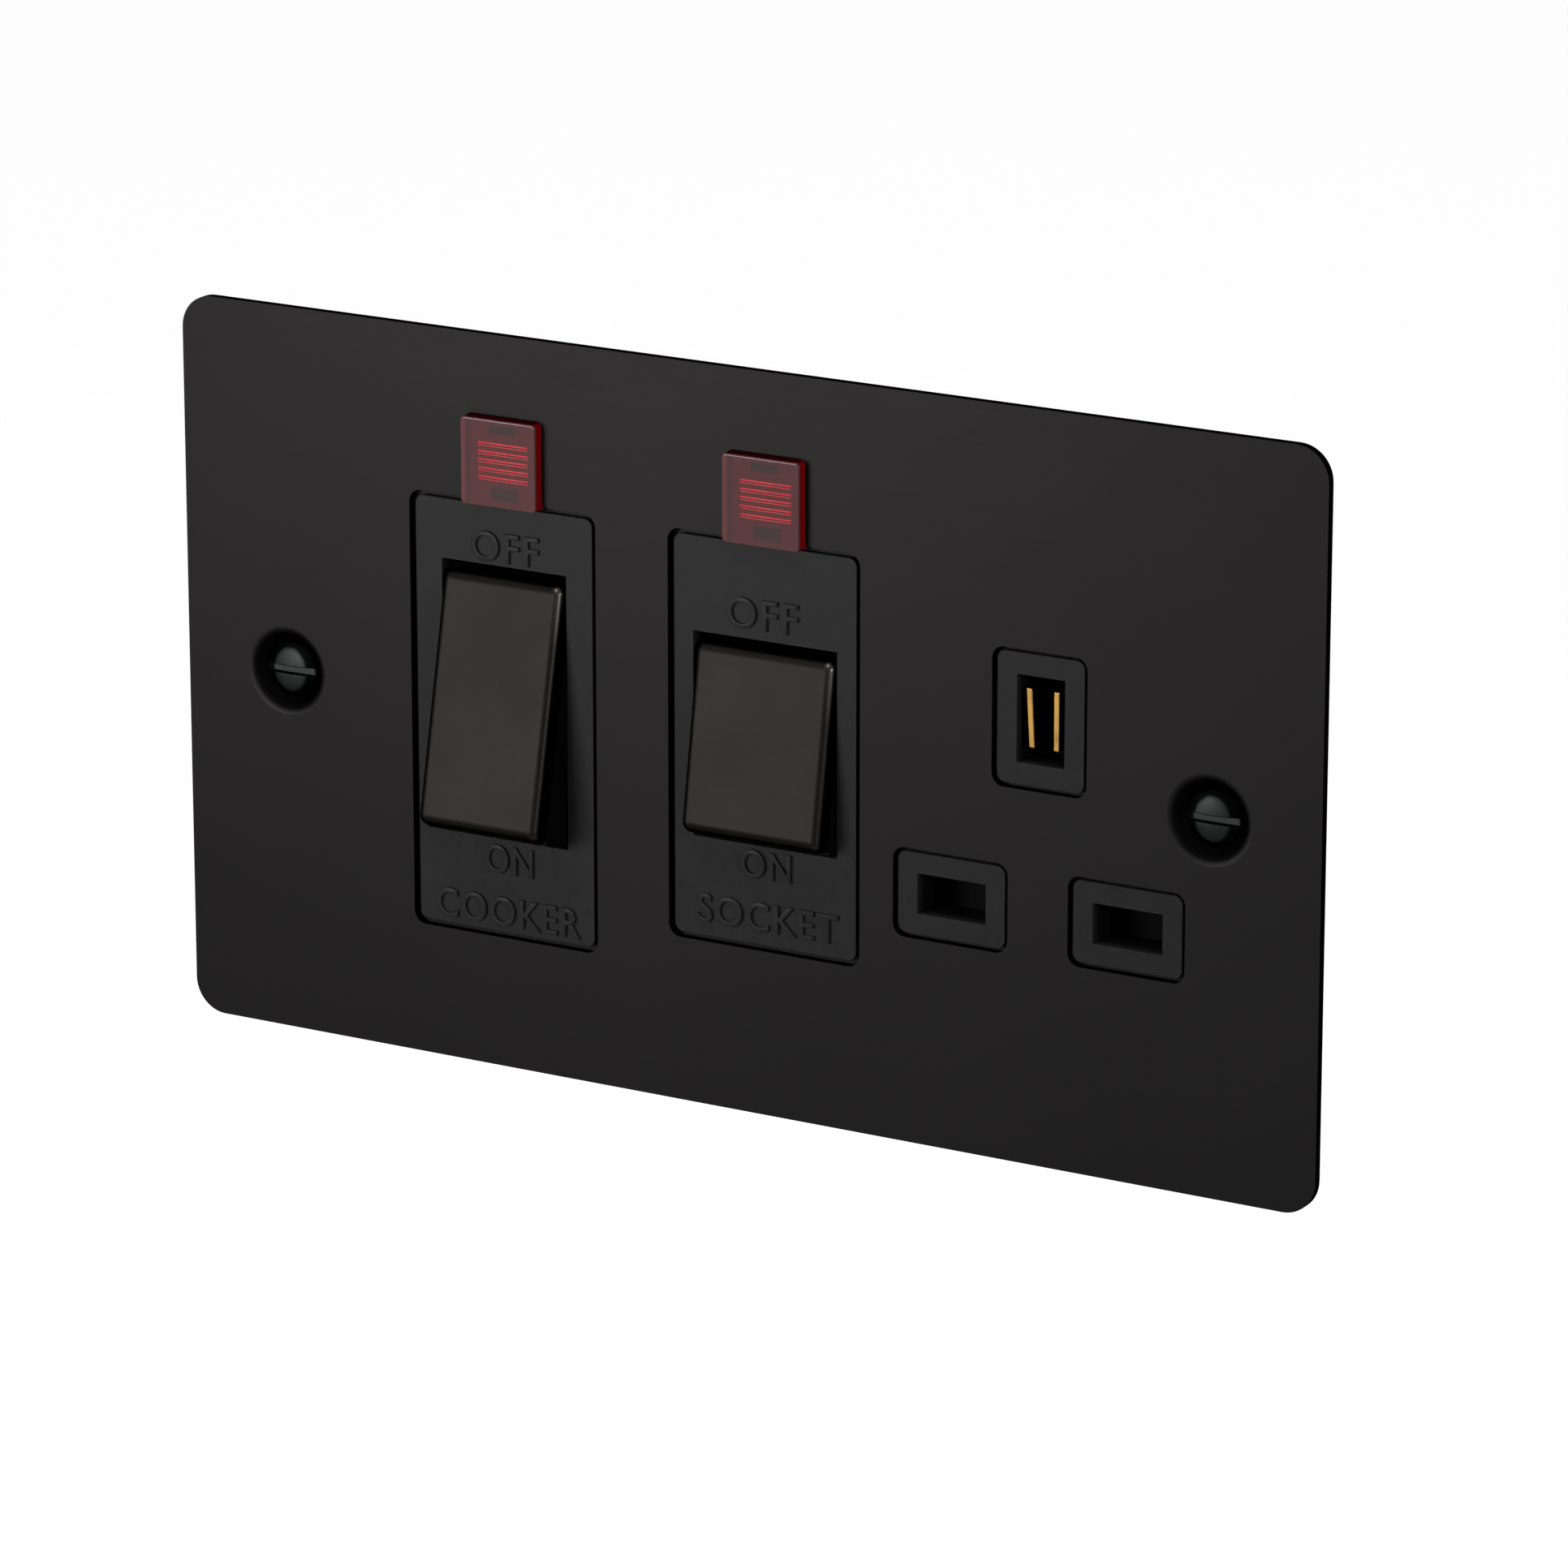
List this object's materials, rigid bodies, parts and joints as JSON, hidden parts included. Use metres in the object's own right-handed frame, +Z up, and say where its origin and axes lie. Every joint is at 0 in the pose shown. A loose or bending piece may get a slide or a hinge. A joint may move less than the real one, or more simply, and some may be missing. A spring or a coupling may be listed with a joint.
{
  "type": "cooker control unit",
  "caption": "Flat black wall plate with a large cooker rocker switch, a smaller switch for its three-pin socket outlet, and a red neon lens over each switch.",
  "frame": {"origin": "middle of the plate's rear face, midway between the fixing screws", "axes": "+X to the plate's right as seen from the front, +Z up, +Y into the wall; the front faces -Y"},
  "size_m": [0.148, 0.033, 0.087],
  "materials": {
    "plate_metal": "matt black, faint horizontal brushing",
    "rocker_metal": "satin warm black",
    "screw_metal": "blackened steel",
    "moulding": "black thermoset, fine mottled grain",
    "housing": "black moulded",
    "rocker_core": "black moulded",
    "plunger_plastic": "natural nylon",
    "neon_lens": "translucent red",
    "lamp_glass": "clear bulb",
    "resistor_body": "lacquered",
    "spring_steel": "drawn wire",
    "brass": "rolled strip",
    "copper_alloy": "rolled strip",
    "contact_silver": "silver alloy",
    "shutter_plastic": "black moulded",
    "plated_steel": "zinc plated"
  },
  "bodies": {
    "frame": {"front_plate": "plate_metal", "fixing_screws": "screw_metal", "front_moulding": "moulding", "fixed_contact_tips": "contact_silver", "earth_socket_contact": "brass", "live_socket_contact": "brass", "neutral_socket_contact": "brass", "live_socket_bar": "brass", "neutral_socket_bar": "brass", "live_supply_link": "copper_alloy", "neutral_supply_link": "copper_alloy", "earth_terminal": "brass", "terminal_screws": "plated_steel", "rear_housing": "housing", "housing_screws": "plated_steel", "cooker_neon_lens": "neon_lens", "cooker_neon_lamp": "lamp_glass", "cooker_neon_resistor": "resistor_body", "cooker_load_live_terminal": "brass", "cooker_supply_live_terminal": "brass", "cooker_load_neutral_terminal": "brass", "cooker_supply_neutral_terminal": "brass", "socket_neon_lens": "neon_lens", "socket_neon_lamp": "lamp_glass", "socket_neon_resistor": "resistor_body", "socket_switch_load_live_strip": "brass", "socket_switch_supply_live_strip": "brass", "socket_switch_load_neutral_strip": "brass", "socket_switch_supply_neutral_strip": "brass", "shutter_spring": "spring_steel"},
    "cooker_rocker_body": {"cooker_rocker_cap": "rocker_metal", "cooker_rocker": "rocker_core", "cooker_live_plunger_spring": "spring_steel", "cooker_neutral_plunger_spring": "spring_steel"},
    "cooker_live_plunger_body": {"cooker_live_plunger": "plunger_plastic"},
    "cooker_live_arm_body": {"cooker_live_arm": "copper_alloy", "cooker_live_arm_tip": "contact_silver"},
    "cooker_neutral_plunger_body": {"cooker_neutral_plunger": "plunger_plastic"},
    "cooker_neutral_arm_body": {"cooker_neutral_arm": "copper_alloy", "cooker_neutral_arm_tip": "contact_silver"},
    "socket_switch_rocker_body": {"socket_switch_rocker_cap": "rocker_metal", "socket_switch_rocker": "rocker_core", "socket_switch_live_plunger_spring": "spring_steel", "socket_switch_neutral_plunger_spring": "spring_steel"},
    "socket_switch_live_plunger_body": {"socket_switch_live_plunger": "plunger_plastic"},
    "socket_switch_live_arm_body": {"socket_switch_live_arm": "copper_alloy", "socket_switch_live_arm_tip": "contact_silver"},
    "socket_switch_neutral_plunger_body": {"socket_switch_neutral_plunger": "plunger_plastic"},
    "socket_switch_neutral_arm_body": {"socket_switch_neutral_arm": "copper_alloy", "socket_switch_neutral_arm_tip": "contact_silver"},
    "shutter_body": {"shutter": "shutter_plastic"}
  },
  "joints": [
    {"name": "cooker_rocker_hinge", "type": "hinge", "parent": "frame", "child": "cooker_rocker_body", "pos_m": [-0.0306, 0.0008, -0.00025], "axis": [1, 0, 0], "range_deg": [0, 24.4]},
    {"name": "cooker_live_plunger_slide", "type": "slide", "parent": "cooker_rocker_body", "child": "cooker_live_plunger_body", "axis": [0, -0.9774, 0.2113], "range_m": [0, 0.001], "stiffness_N_per_m": 500, "springref_m": -0.001, "deforming": ["cooker_live_plunger_spring"]},
    {"name": "cooker_live_arm_hinge", "type": "hinge", "parent": "frame", "child": "cooker_live_arm_body", "pos_m": [-0.0352, 0.00975, -0.00025], "axis": [1, 0, 0], "range_deg": [-18, 0]},
    {"name": "cooker_neutral_plunger_slide", "type": "slide", "parent": "cooker_rocker_body", "child": "cooker_neutral_plunger_body", "axis": [0, -0.9774, 0.2113], "range_m": [0, 0.001], "stiffness_N_per_m": 500, "springref_m": -0.001, "deforming": ["cooker_neutral_plunger_spring"]},
    {"name": "cooker_neutral_arm_hinge", "type": "hinge", "parent": "frame", "child": "cooker_neutral_arm_body", "pos_m": [-0.026, 0.00975, -0.00025], "axis": [1, 0, 0], "range_deg": [-18, 0]},
    {"name": "socket_switch_rocker_hinge", "type": "hinge", "parent": "frame", "child": "socket_switch_rocker_body", "pos_m": [0.0039, 0.0008, -0.00005], "axis": [1, 0, 0], "range_deg": [0, 19.2]},
    {"name": "socket_switch_live_plunger_slide", "type": "slide", "parent": "socket_switch_rocker_body", "child": "socket_switch_live_plunger_body", "axis": [0, -0.986, 0.1668], "range_m": [0, 0.001], "stiffness_N_per_m": 500, "springref_m": -0.001, "deforming": ["socket_switch_live_plunger_spring"]},
    {"name": "socket_switch_live_arm_hinge", "type": "hinge", "parent": "frame", "child": "socket_switch_live_arm_body", "pos_m": [-0.0007, 0.00975, -0.00005], "axis": [1, 0, 0], "range_deg": [-17, 0]},
    {"name": "socket_switch_neutral_plunger_slide", "type": "slide", "parent": "socket_switch_rocker_body", "child": "socket_switch_neutral_plunger_body", "axis": [0, -0.986, 0.1668], "range_m": [0, 0.001], "stiffness_N_per_m": 500, "springref_m": -0.001, "deforming": ["socket_switch_neutral_plunger_spring"]},
    {"name": "socket_switch_neutral_arm_hinge", "type": "hinge", "parent": "frame", "child": "socket_switch_neutral_arm_body", "pos_m": [0.0085, 0.00975, -0.00005], "axis": [1, 0, 0], "range_deg": [-17, 0]},
    {"name": "shutter_slide", "type": "slide", "parent": "frame", "child": "shutter_body", "axis": [0, 0, -1], "range_m": [0, 0.0056], "stiffness_N_per_m": 60, "springref_m": -0.004, "deforming": ["shutter_spring"]}
  ],
  "couplings": [
    {"joint": "cooker_live_arm_hinge", "follows": "cooker_rocker_hinge", "ratio": -0.7377},
    {"joint": "cooker_neutral_arm_hinge", "follows": "cooker_rocker_hinge", "ratio": -0.7377},
    {"joint": "socket_switch_live_arm_hinge", "follows": "socket_switch_rocker_hinge", "ratio": -0.88542},
    {"joint": "socket_switch_neutral_arm_hinge", "follows": "socket_switch_rocker_hinge", "ratio": -0.88542}
  ]
}
